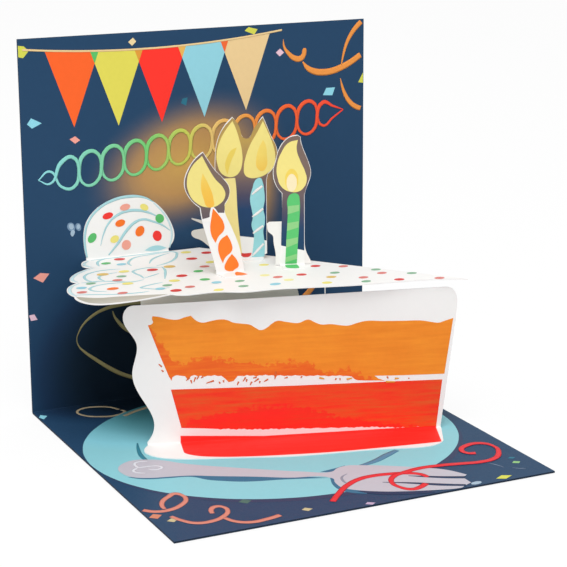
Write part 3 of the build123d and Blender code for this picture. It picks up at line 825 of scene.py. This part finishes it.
# Shadow of the plate, and the streamers and confetti of the lower leaf
base_bits = [
    filled(inks["plate_shadow"], 1, oval(
        plate_middle_x, plate_middle_y - plate_shadow_forward, plate_length - plate_shadow_less,
        plate_width - plate_shadow_less, plate_tilt, plate_steps)),
    stroke(inks["streamer_red"], 7, pen_stroke([
        (-10.3, -125.2), (-5.4, -119.9), (0.4, -114.7), (6.8, -111.4), (11.4, -110.9), (17.3, -111.8),
        (22.1, -113.4), (25.9, -116.3), (27.0, -119.6)], 1.4, 2.5)),
    stroke(inks["streamer_red"], 8, pen_stroke([
        (23.5, -124.5), (20.1, -126.5), (17.1, -127.0), (14.4, -123.7), (14.2, -118.6), (17.5, -114.2),
        (22.4, -112.6), (28.7, -111.5), (35.9, -112.2), (42.6, -113.7), (49.4, -115.2), (55.1, -114.4),
        (59.6, -110.0), (61.4, -104.1), (59.2, -99.6), (54.0, -99.2), (49.5, -103.0), (50.2, -106.2),
        (52.4, -107.2)], 1.4, 2.4)),
    stroke(inks["salmon"], 3, pen_stroke([
        (-65.6, -105.6), (-62.7, -108.4), (-58.3, -109.1), (-53.0, -106.5), (-50.2, -102.9), (-50.1, -99.0),
        (-51.6, -97.0), (-54.1, -98.4), (-57.4, -101.4), (-59.1, -105.4), (-59.2, -107.6)], 1.2, 2.3)),
    stroke(inks["salmon"], 4, pen_stroke([
        (-59.9, -114.2), (-58.1, -118.7), (-55.0, -122.6), (-50.1, -123.3), (-45.5, -121.3),
        (-42.6, -117.9), (-42.5, -114.2), (-44.3, -112.8), (-46.7, -114.6), (-47.6, -117.6)], 1.2, 2.2)),
    stroke(inks["salmon"], 5, pen_stroke([
        (-45.8, -122.6), (-43.9, -126.7), (-40.0, -129.3), (-34.5, -129.2), (-29.6, -128.1)], 1.2, 2.2)),
    stroke(inks["loop_tan"], 1, pen_stroke([
        (-37.6, -10.6), (-39.8, -6.6), (-44.4, -3.9), (-49.1, -3.8), (-52.0, -6.6), (-51.4, -11.0),
        (-46.4, -15.2), (-40.8, -16.2), (-36.6, -13.6), (-37.2, -11.4)], 0.8, 1.5)),
    stroke(inks["loop_tan"], 3, pen_stroke([
        (-38.6, -18.4), (-34.0, -15.6), (-31.0, -14.3), (-27.1, -12.7)], 1.0, 1.8)),
    filled(inks["sky"], 1, cornered((-66.3, -6.5), (-65.0, -4.1), (-63.1, -6.1), (-65.4, -9.2))),
    filled(inks["burnt_salmon"], 2, cornered(
        (-66.2, -112.2), (-64.0, -110.0), (-61.8, -111.8), (-64.2, -114.2))),
    filled(inks["dim_pink"], 2, cornered((-2.2, -131.5), (-0.8, -130.3), (1.2, -131.8), (-0.4, -132.9))),
    filled(inks["dim_sand"], 2,
           cornered((-62.4, -117.2), (-60.4, -115.7), (-58.8, -117.2), (-60.7, -118.9)),
           cornered((-21.9, -127.0), (-20.2, -125.9), (-18.4, -127.7), (-20.5, -128.8))),
    filled(inks["dim_green"], 2, cornered(
        (-36.6, -112.6), (-34.4, -111.0), (-32.4, -113.0), (-34.6, -114.8))),
    filled(inks["lime"], 2, cornered((45.8, -130.5), (48.9, -128.7), (51.9, -130.2), (48.6, -132.0))),
    filled(inks["leaf_green"], 2, cornered((58.2, -120.5), (59.6, -119.2), (61.4, -120.4), (60.1, -121.7))),
    filled(inks["teal"], 2, cornered((59.2, -116.2), (60.6, -115.2), (62.2, -116.2), (60.7, -117.2))),
    # A pale blue-grey oval past the fork's tines
    filled(inks["stain"], 2, oval(38.1, -131.0, 4.0, 2.2, 10)),
    stroke(inks["dim_grey"], 2, tapered([(51.0, -116.6), (52.6, -119.6), (53.6, -122.7)], 0.6)),
    stroke(inks["dim_grey"], 2, tapered([(55.8, -124.4), (57.8, -126.0), (59.5, -126.9)], 0.6)),
]
printed("base_confetti", lower_leaf, base_bits)

# Orange layer of the slice: wavy top, and a lower end where the brush ran dry
orange_outline = [
    (2.7, 45.3, True), (5.4, 44.8), (8.1, 44.0), (11.2, 43.7), (13.2, 44.3), (15.5, 44.8, True),
    (17.3, 43.0), (19.4, 42.2), (22.1, 42.6), (25.2, 43.0), (27.6, 42.7), (29.7, 41.7), (32.4, 41.2),
    (35.5, 40.6), (37.3, 39.4), (39.0, 38.6), (41.1, 39.3), (42.8, 40.6), (44.6, 41.5), (47.7, 41.0),
    (51.8, 40.4), (55.3, 41.4), (57.4, 40.4), (59.5, 39.5), (63.1, 39.4), (66.6, 38.8), (69.0, 38.6),
    (71.9, 39.3), (75.0, 39.9), (80.7, 39.6), (87.8, 39.3), (94.9, 39.0), (97.8, 38.4), (100.7, 38.0),
    (102.1, 38.4), (105.6, 39.4, True), (102.8, 19.6, True), (85.0, 20.0), (78.2, 20.3, True),
    (79.6, 19.2, True), (81.9, 18.3, True), (79.4, 18.5), (74.4, 18.8, True), (71.6, 19.3),
    (70.2, 20.5, True), *ragged([(68.6, 20.8), (50.7, 21.9), (44.4, 22.3)], 1.3, 0.22),
    (43.8, 21.1, True), (43.4, 22.4, True), *ragged([(42.6, 22.5), (31.0, 22.9)], 1.1, 0.3),
    (29.6, 21.2, True), (27.9, 20.9, True), (26.4, 22.5), *ragged([(25.4, 23.3), (15.2, 23.8)], 1.2, 0.3),
    (14.2, 22.3, True), (13.2, 23.8, True), (11.6, 24.1), (10.1, 24.3), (8.9, 23.7, True),
    (8.6, 22.5, True), (7.7, 24.1, True), (5.1, 30.9, True), (1.1, 42.2, True), (2.3, 42.5),
    (2.9, 43.2, True), (2.5, 44.3)]
red_outline = [
    (8.3, 19.4, True), (50.7, 18.35, True), (78.0, 18.0, True), (102.1, 17.6, True), (100.2, 0.9, True),
    *ragged([
        (95.5, 0.9), (89.3, 0.9), (77.4, 1.9), (66.7, 2.3), (50.6, 3.0), (37.6, 3.5),
        (24.0, 4.5)], 0.9, 0.25),
    (18.0, 5.1), (11.6, 5.6, True)]
crumb_marks = [
    ((13.5, 22.3), (14.7, 23.3)), ((16.1, 21.7), (16.7, 23.3)), ((17.1, 22.5), (17.8, 23.6)),
    ((20.3, 21.0), (22.9, 21.7)), ((26.3, 20.9), (26.1, 21.7)), ((30.8, 19.7), (31.3, 20.9)),
    ((32.8, 20.9), (33.7, 22.3)), ((35.2, 19.5), (35.8, 20.6)), ((36.6, 20.5), (38.2, 21.6)),
    ((40.0, 20.4), (41.4, 21.2)), ((43.7, 21.0), (44.0, 23.8)), ((64.5, 19.5), (64.9, 20.2)),
    ((66.3, 19.4), (66.1, 20.1)), ((90.2, 18.5), (90.3, 18.9)), ((83.0, 19.0), (82.6, 19.8)),
    ((4.4, 28.6), (5.4, 27.6)), ((5.2, 26.4), (6.0, 25.9)), ((15.4, 21.2), (15.1, 22.4)),
    ((18.5, 22.9), (19.3, 23.4)), ((33.9, 20.6), (34.1, 21.6)), ((36.2, 21.9), (37.5, 22.1)),
    ((38.4, 19.9), (38.6, 20.7)), ((24.6, 21.3), (25.0, 20.6)), ((47.0, 21.2), (48.1, 21.5)),
    ((52.6, 20.9), (53.0, 21.6))]
gold_marks = [
    ((59.0, 20.7), (60.7, 20.2)), ((68.5, 19.6), (70.4, 19.9)), ((85.3, 18.9), (86.8, 18.9)),
    ((82.2, 17.9), (85.4, 17.7))]
crumb_thin, crumb_wide = 0.3, 0.6
gold_wide, gold_thin = 0.7, 0.4
slice_paint = [
    filled(orange_layer, 1, orange_outline),
    filled(red_layer, 1, red_outline),
    *[stroke(inks["crumb"], 4, [(*start, crumb_thin), (*end, crumb_wide)]) for start, end in crumb_marks],
    *[stroke(inks["crumb_gold"], 5, [(*start, gold_wide), (*end, gold_thin)]) for start, end in gold_marks],
]
printed("slice_paint", slice_face, slice_paint)

# Scoop of frosting: a blue edge that pales to the right, two swirls, a shade at its foot and beads
scoop = [
    stroke(inks["icing_line"], 1, [
        (-16.2, 0.8, 0.6), (-16.8, 4.6, 0.8), (-16.8, 8.4, 0.8), (-15.4, 13.4, 0.8), (-11.3, 18.0, 0.9),
        (-5.6, 20.6, 1.1), (0.9, 21.3, 1.1), (6.0, 20.4, 0.7), (9.5, 18.5, 0.3)]),
    stroke(inks["icing_edge"], 1, [
        (9.5, 18.2, 0.4), (12.8, 14.6, 0.6), (15.5, 9.9, 0.7), (16.3, 5.8, 0.7), (15.3, 1.0, 0.5)]),
    stroke(inks["icing_line"], 2, [
        (-11.0, 4.6, 0.2), (-9.8, 8.6, 0.5), (-7.8, 12.3, 0.7), (-4.6, 14.9, 0.9), (-0.8, 16.1, 1.1),
        (3.4, 16.0, 1.0), (7.4, 14.8, 0.8), (10.4, 13.3, 0.4)]),
    stroke(inks["icing_line"], 2, [
        (-8.1, 0.8, 0.5), (-4.3, 4.9, 0.9), (-1.0, 9.1, 1.1), (2.2, 11.7, 1.0), (5.4, 12.5, 0.8),
        (8.9, 11.4, 0.7), (12.6, 9.7, 0.6), (15.6, 7.4, 0.3)]),
    filled(inks["icing_line"], 2, [
        (5.6, 1.0, True), (8.3, 2.2), (11.0, 2.3), (14.2, 1.1, True), (11.5, 0.5), (8.4, 0.5)]),
    filled(inks["scoop_red"], 4, oval(-8.0, 15.1, 4.0, 2.3, 12), oval(10.6, 5.9, 3.3, 4.0, 25)),
    filled(inks["bead_orange"], 4, oval(-3.4, 12.0, 3.8, 2.5, 12), oval(4.0, 8.3, 3.2, 4.0, -35)),
    filled(inks["bead_green"], 4, oval(-14.1, 7.7, 3.9, 2.8, 50), oval(11.7, 12.2, 3.5, 3.1, -40)),
    filled(inks["bead_yellow"], 4, oval(-5.7, 6.4, 3.4, 2.6, 20), oval(5.9, 16.9, 3.4, 2.2, -30)),
    filled(inks["bead_pink"], 4, oval(-1.4, 17.6, 3.9, 2.3, 8), oval(-1.3, 3.8, 3.5, 3.6, 0)),
]
printed("scoop_icing", scoop_face, scoop)

# Frosting lobes at the left of the slice: swirls, pale blue edges and a shaded front
swirls = [
    [(-43.3, -1.9), (-38.4, -1.9), (-20.8, -1.7), (-14.2, -1.9), (-12.1, -3.6), (-13.5, -8.9),
     (-17.1, -14.6), (-21.6, -18.2), (-25.6, -19.8)],
    [(-37.4, -1.9), (-41.0, -3.9), (-43.1, -8.0), (-43.7, -11.4)],
    [(-14.4, -2.6), (-21.7, -3.4), (-27.5, -4.8), (-31.4, -8.8), (-33.2, -12.3), (-33.4, -15.8)],
    [(-14.1, -4.0), (-18.5, -6.3), (-23.1, -10.0), (-26.6, -15.6)],
    [(-38.4, -18.4), (-44.0, -17.7), (-49.5, -19.1), (-52.9, -22.3), (-54.2, -27.1), (-53.7, -30.1),
     (-52.0, -32.4)],
    [(-41.3, -22.6), (-45.4, -23.3), (-48.9, -25.7), (-49.7, -28.7), (-49.2, -31.7)],
    [(-24.9, -22.3), (-28.8, -21.1), (-33.0, -21.8), (-35.6, -23.3), (-36.2, -26.6), (-35.7, -30.3),
     (-36.0, -34.3)],
    [(-24.4, -21.9), (-25.1, -26.5), (-26.9, -31.3), (-29.8, -38.1)],
    [(-36.0, -34.3), (-31.4, -31.8), (-28.8, -30.3)],
    [(-42.3, -37.3), (-47.5, -36.0), (-52.4, -36.2), (-56.3, -38.2), (-57.6, -40.8), (-56.6, -43.3),
     (-53.6, -45.5)],
    [(-32.3, -42.3), (-35.9, -43.2), (-40.4, -44.9), (-41.4, -45.7), (-40.0, -47.8), (-37.0, -49.9),
     (-32.9, -50.1)],
    [(-57.2, -30.9), (-52.1, -31.1), (-46.7, -33.7), (-41.5, -37.0), (-36.6, -36.1)],
    [(-64.1, -45.3), (-60.8, -46.3), (-52.7, -49.8), (-44.0, -51.6), (-40.7, -51.3)],
]
lobe_edges = [
    [(-64.5, -47.0), (-64.8, -43.6), (-64.5, -40.4), (-61.7, -34.1), (-58.0, -31.2)],
    [(-57.8, -29.6), (-58.7, -26.8), (-56.6, -21.4), (-51.0, -15.7), (-46.4, -12.9)],
    [(-46.6, -11.4), (-47.4, -10.0), (-47.6, -6.6), (-44.4, -2.4)],
]
swirl_width, lobe_edge_width = 0.95, 1.1
lobes = [
    *[stroke(inks["icing_line"], 1, tapered(points, swirl_width)) for points in swirls],
    *[stroke(inks["icing_edge"], 2, tapered(points, lobe_edge_width)) for points in lobe_edges],
    filled(lobe_shade_ink, 3, [
        (-64.9, -47.6, True), (-58.9, -52.0), (-52.8, -53.3), (-45.1, -55.2), (-36.7, -57.6, True),
        (-43.1, -59.1), (-52.8, -59.9), (-62.2, -57.8), (-64.9, -51.8)]),
    beads(inks["bead_red"], 4, 4.0, 3.2, (-33.8, -5.1), (-29.1, -24.8), (-23.2, -37.1), (-10.6, -15.9),
          (-32.5, -54.6), (-2.3, -9.9)),
    beads(inks["bead_rose"], 4, 3.6, 2.6, (-11.0, -28.5), (-26.5, -52.2), (-45.0, -32.9),
          (-61.2, -42.8), (-49.5, -49.7)),
    beads(inks["bead_green"], 4, 3.6, 2.8, (-40.2, -8.7), (-15.6, -33.7), (-18.1, -45.3)),
    beads(inks["bead_sage"], 4, 3.5, 2.5, (-41.9, -28.6), (-54.6, -33.1), (-32.5, -46.9)),
    beads(inks["bead_blue"], 4, 3.6, 2.8, (-35.8, -12.4), (-59.4, -37.3), (-36.3, -50.1), (-16.2, -50.8)),
    beads(inks["bead_yellow"], 4, 3.9, 3.0, (-38.7, -22.5), (-43.5, -38.7), (-28.0, -42.2),
          (-8.7, -6.0), (-6.5, -23.5)),
    beads(inks["bead_tan"], 4, 4.2, 3.4, (-46.7, -23.1), (-22.0, -23.1)),
    beads(inks["bead_orange"], 4, 4.2, 3.0, (-50.4, -42.9)),
]
printed("frosting_lobes", cake_lid, lobes)

# Beads scattered over the rest of the slice's top
scattered = [
    beads(inks["bead_red"], 1, 3.6, 2.9, (40.7, -74.9), (14.1, -54.0), (23.8, -45.3)),
    beads(inks["bead_rose"], 1, 3.6, 2.8, (5.4, -53.4), (32.3, -50.0), (39.7, -64.4), (31.2, -67.0),
          (53.8, -79.3)),
    beads(inks["bead_sage"], 1, 3.6, 2.6, (-8.4, -52.5), (-10.1, -59.3), (40.2, -59.2), (48.8, -69.2),
          (25.5, -56.8), (29.5, -72.1)),
    beads(inks["bead_yellow"], 1, 3.6, 2.9, (-19.5, -60.1), (8.5, -35.6), (16.9, -67.8)),
    beads(inks["bead_lemon"], 1, 3.6, 2.8, (2.5, -49.2), (7.1, -58.5)),
    beads(inks["bead_tan"], 1, 3.6, 2.8, (21.7, -61.5)),
    beads(inks["bead_blue"], 1, 4.0, 2.9, (0.6, -61.6)),
]
printed("cake_beads", cake_lid, scattered)

# Orange candle
orange_edge = [
    (-9.9, 19.8, True), (-10.6, 23.9, True), (-14.2, 27.4), (-16.2, 32.4), (-14.4, 38.0), (-12.1, 40.9),
    (-9.2, 43.0, True), (-7.2, 39.8), (-4.9, 36.5), (-2.0, 33.5), (0.4, 29.6), (0.1, 26.7),
    (-1.4, 24.4, True), (-1.6, 21.2, True)]
orange_stripes = [
    [(-5.9, 23.3, True), (-6.6, 19.9), (-7.0, 16.6), (-6.6, 14.0), (-5.1, 11.2, True), (-4.1, 13.2),
     (-1.9, 15.5), (-2.1, 18.1), (-4.0, 21.1)],
    [(-0.8, 13.6, True), (-3.4, 11.9), (-4.2, 9.7), (-3.7, 6.5), (-2.5, 3.8, True), (-1.7, 5.5),
     (1.0, 8.1), (0.7, 10.7)],
    [(0.9, 6.7, True), (-1.2, 4.2), (-1.9, 1.9), (-0.8, 0.9), (1.2, 0.62, True), (2.0, 1.2),
     (3.3, 2.0), (3.0, 3.9)],
]
orange_candle = [
    filled(brown_halo_ink, 1, drawn_in(orange_edge)),
    filled(inks["paper_white"], 2, [
        (-9.7, 19.5, True), (-7.2, 20.4, True), (-6.9, 22.6), (-6.2, 23.9), (-5.2, 23.3),
        (-4.0, 21.6, True), (-2.0, 21.4, True), (-1.9, 20.0, True), (-3.4, 18.6, True),
        (-9.5, 18.8, True)]),
    filled(inks["flame"], 3, [
        (-9.6, 41.7, True), (-13.4, 38.3), (-15.2, 34.0), (-14.6, 29.4), (-12.1, 25.9), (-7.5, 23.8),
        (-3.5, 24.5), (-1.3, 27.2), (-1.8, 29.7), (-5.0, 33.5), (-7.6, 37.8)]),
    filled(blade_ink, 4, [
        (-9.5, 35.8, True), (-10.2, 31.5), (-9.1, 26.4), (-8.1, 24.2), (-5.9, 24.0), (-5.7, 26.6),
        (-7.4, 31.8)]),
    filled(inks["wax_orange"], 3, *orange_stripes),
]
printed("orange_candle_print", orange_face, orange_candle)
printed("orange_candle_foot_print", candle_feet, [
    filled(inks["wax_orange"], 1, [
        (-4.6, -41.5, True), (-3.4, -43.6), (-2.7, -46.5, True), (-4.8, -46.8), (-6.9, -46.4, True),
        (-6.5, -44.6), (-5.7, -42.7)])])

# Yellow and blue candles
pair_edge = [
    (-9.3, 8.6, True), (-10.2, 24.5), (-11.1, 27.5, True), (-12.1, 31.1), (-12.2, 36.7), (-11.7, 41.4),
    (-9.7, 46.6), (-5.9, 51.0, True), (-3.9, 48.6), (-1.1, 43.5), (1.8, 47.3), (4.8, 50.9, True),
    (6.1, 47.8), (7.7, 43.9), (9.6, 39.8), (9.6, 35.3), (8.3, 32.5), (6.4, 30.4, True), (5.9, 28.3, True),
    (5.9, 6.3, True), (0.9, 7.7, True), (-3.7, 8.4, True)]
pair_flames = [
    [(-5.9, 49.6, True), (-8.0, 47.0), (-10.2, 43.2), (-11.6, 38.3), (-11.4, 34.7), (-10.3, 31.7),
     (-8.2, 30.1), (-5.6, 30.0), (-3.7, 31.5), (-2.7, 34.3), (-2.7, 39.0), (-3.6, 43.1), (-4.8, 47.1)],
    [(4.8, 49.3, True), (2.8, 45.5), (0.2, 41.0), (-1.5, 36.4), (-2.1, 32.8), (-1.8, 30.6),
     (-0.3, 29.4), (3.2, 29.4), (6.2, 30.7), (8.4, 33.0), (9.1, 36.5), (8.2, 41.1), (6.4, 45.7)],
]
blue_stripes = [
    [(0.7, 23.3, 0.5), (2.3, 24.7, 1.0), (4.4, 26.2, 0.8)],
    [(0.7, 15.3, 0.5), (2.4, 16.4, 1.0), (4.6, 18.1, 0.8)],
    [(0.9, 9.3, 0.5), (2.7, 10.6, 1.0), (4.6, 11.9, 0.8)],
    [(0.6, 1.2, 0.5), (2.4, 3.0, 1.0), (4.7, 5.4, 0.8)],
]
pair_print = [
    filled(halo_ink, 1, drawn_in(pair_edge)),
    filled(inks["flame"], 3, *pair_flames),
    filled(inks["wick"], 4, [
        (-4.5, 40.3, True), (-6.5, 39.3), (-8.1, 36.6), (-8.7, 33.7), (-7.9, 30.7, True), (-7.2, 33.4),
        (-6.4, 35.8), (-5.4, 37.9)]),
    filled(blade_ink, 4, [
        (4.8, 42.6, True), (3.3, 39.8), (2.3, 35.7), (2.7, 32.6), (4.5, 31.6), (5.9, 33.0), (6.1, 37.1),
        (5.7, 40.8)]),
    filled(inks["wax_yellow"], 3, [
        (-9.0, 29.4, True), (-5.2, 29.5, True), (-4.9, 26.6), (-4.5, 17.2), (-3.7, 7.7),
        (-3.1, 1.9, True), (-8.6, 1.9, True), (-9.0, 16.0)]),
    filled(inks["wax_blue"], 3, [
        (2.7, 29.0), (1.5, 27.7), (0.9, 25.6), (0.2, 23.4), (0.0, 21.0), (0.6, 17.6), (0.9, 15.2),
        (0.4, 12.3), (1.2, 9.0), (1.0, 5.0), (0.4, 0.7, True), (4.9, 0.7, True), (5.1, 4.7), (4.8, 7.6),
        (4.6, 10.0), (5.1, 12.6), (5.2, 15.2), (4.7, 17.9), (5.2, 21.2), (5.0, 24.8), (4.5, 27.8),
        (3.8, 29.1)]),
    *[stroke(inks["paper_white"], 4, stripe) for stripe in blue_stripes],
    filled(inks["bead_red"], 3, [
        (-3.6, 2.3), (-2.3, 2.2), (0.4, 2.3, True), (-0.2, 1.2), (-1.8, 0.8), (-3.1, 1.2)]),
]
printed("pair_candle_print", pair_face, pair_print)

# Green candle
green_edge = [
    (-5.0, 7.2, True), (-4.4, 25.8, True), (-6.2, 28.1), (-7.5, 33.2), (-6.5, 37.6), (-5.3, 41.5),
    (-2.1, 45.2), (1.2, 46.0, True), (2.2, 45.3, True), (2.3, 43.7), (3.3, 40.7), (5.0, 36.4),
    (5.8, 32.7), (4.6, 28.4), (3.5, 24.9, True), (3.5, 5.0, True)]
green_stripes = [
    cornered((-2.4, 21.2), (1.6, 21.5), (1.6, 19.4), (-2.5, 18.3)),
    cornered((-2.6, 15.2), (1.4, 15.7), (1.3, 13.5), (-2.7, 12.4)),
    cornered((-3.0, 9.3), (1.1, 10.0), (1.0, 7.9), (-3.1, 6.4)),
    cornered((-3.3, 3.0), (0.7, 4.1), (0.7, 2.3), (-3.3, 1.2)),
]
green_print = [
    filled(short_halo_ink, 1, drawn_in(green_edge)),
    filled(inks["flame"], 3, [
        (1.2, 44.3, True), (-2.0, 43.4), (-4.5, 40.2), (-6.1, 35.7), (-6.0, 31.6), (-4.4, 27.9),
        (-1.3, 26.2), (1.3, 26.2), (3.3, 27.6), (4.3, 30.2), (3.7, 33.2), (2.1, 36.9), (0.8, 41.0)]),
    filled(inks["flame_gold"], 4, oval(-1.0, 30.4, 4.6, 7.8, 0)),
    filled(inks["flame_pale"], 5, oval(-1.0, 29.4, 3.6, 6.2, 0)),
    filled(inks["wax_green"], 3, [
        (-2.3, 24.2), (-1.0, 25.5), (1.2, 25.2), (1.7, 23.9), (1.5, 13.7), (1.0, 6.0), (0.7, 0.62, True),
        (-3.4, 0.62, True), (-3.0, 8.7), (-2.4, 19.1)]),
    filled(inks["wax_green_pale"], 4, *green_stripes),
]
printed("green_candle_print", green_face, green_print)
printed("green_candle_foot_print", candle_feet, [
    filled(inks["wax_green"], 1, [
        (14.55, -40.35, True), (18.4, -41.45, True), (17.9, -44.1), (16.9, -46.6, True), (14.9, -46.0),
        (13.4, -44.5), (13.7, -42.1)])])

# Floor: near white, so that the picture's ground stays pale and keeps the card's shadow.
# What the camera sees of it is mostly its own even white, and the rest is the lit floor.
floor_side, floor_gap = 12.0, 0.2 * mm
floor_white_strength, floor_white_share = 1.06, 0.82
bpy.ops.mesh.primitive_plane_add(size=floor_side, location=(0, 0, -floor_gap))
floor = bpy.context.object
floor.name = "floor"
floor_paper, tree, shader, place = material("studio_floor")
shader.inputs["Base Color"].default_value = linear("#d6d6d6")
shader.inputs["Roughness"].default_value = 0.9
seen = add(tree, "LightPath").outputs["Is Camera Ray"]
white = add(tree, "Emission", {"Color": "#ffffff", "Strength": floor_white_strength})
share = add(tree, "Math", {0: seen, 1: floor_white_share}, operation="MULTIPLY")
both = add(tree, "MixShader", {0: share, 1: shader, 2: white})
tree.links.new(both.outputs[0], tree.nodes["Material Output"].inputs["Surface"])
floor.data.materials.append(floor_paper)

# Light: an even white room, and two soft lamps from the front left, one high and one low
room_strength = 0.80
world = bpy.data.worlds.new("studio")
bpy.context.scene.world = world
world.use_nodes = True
world.node_tree.nodes["Background"].inputs["Color"].default_value = linear("#ffffff")
world.node_tree.nodes["Background"].inputs["Strength"].default_value = room_strength


def soft_lamp(name, location, aim, side, power):
    """A square soft lamp that faces its aim; places and its side in metres, its power in watts."""
    bpy.ops.object.light_add(type="AREA", location=location)
    lamp = bpy.context.object
    lamp.name = name
    lamp.data.size = side
    lamp.data.energy = power
    lamp.rotation_euler = (Vector(aim) - Vector(location)).to_track_quat("-Z", "Y").to_euler()


soft_lamp("key_lamp", location=(-0.35, -0.5, 1.2), aim=(0, 0, 0.05), side=0.7, power=8.0)
soft_lamp("low_fill_lamp", location=(-0.7, -0.9, 0.2), aim=(-0.02, 0, 0.03), side=0.5, power=1.2)

# Camera, where the corners of the card in the photograph put it; angles in degrees
camera_place = (-0.25191, -0.53062, 0.20753)
camera_pitch, camera_roll, camera_turn = 75.503, 0.324, -25.606
camera_lens = 115.68
bpy.ops.object.camera_add(location=camera_place)
camera = bpy.context.object
camera.name = "camera"
camera.rotation_euler = (radians(camera_pitch), radians(camera_roll), radians(camera_turn))
camera.data.sensor_width = 36.0
camera.data.lens = camera_lens
bpy.context.scene.camera = camera
bpy.context.scene.view_settings.view_transform = "Standard"
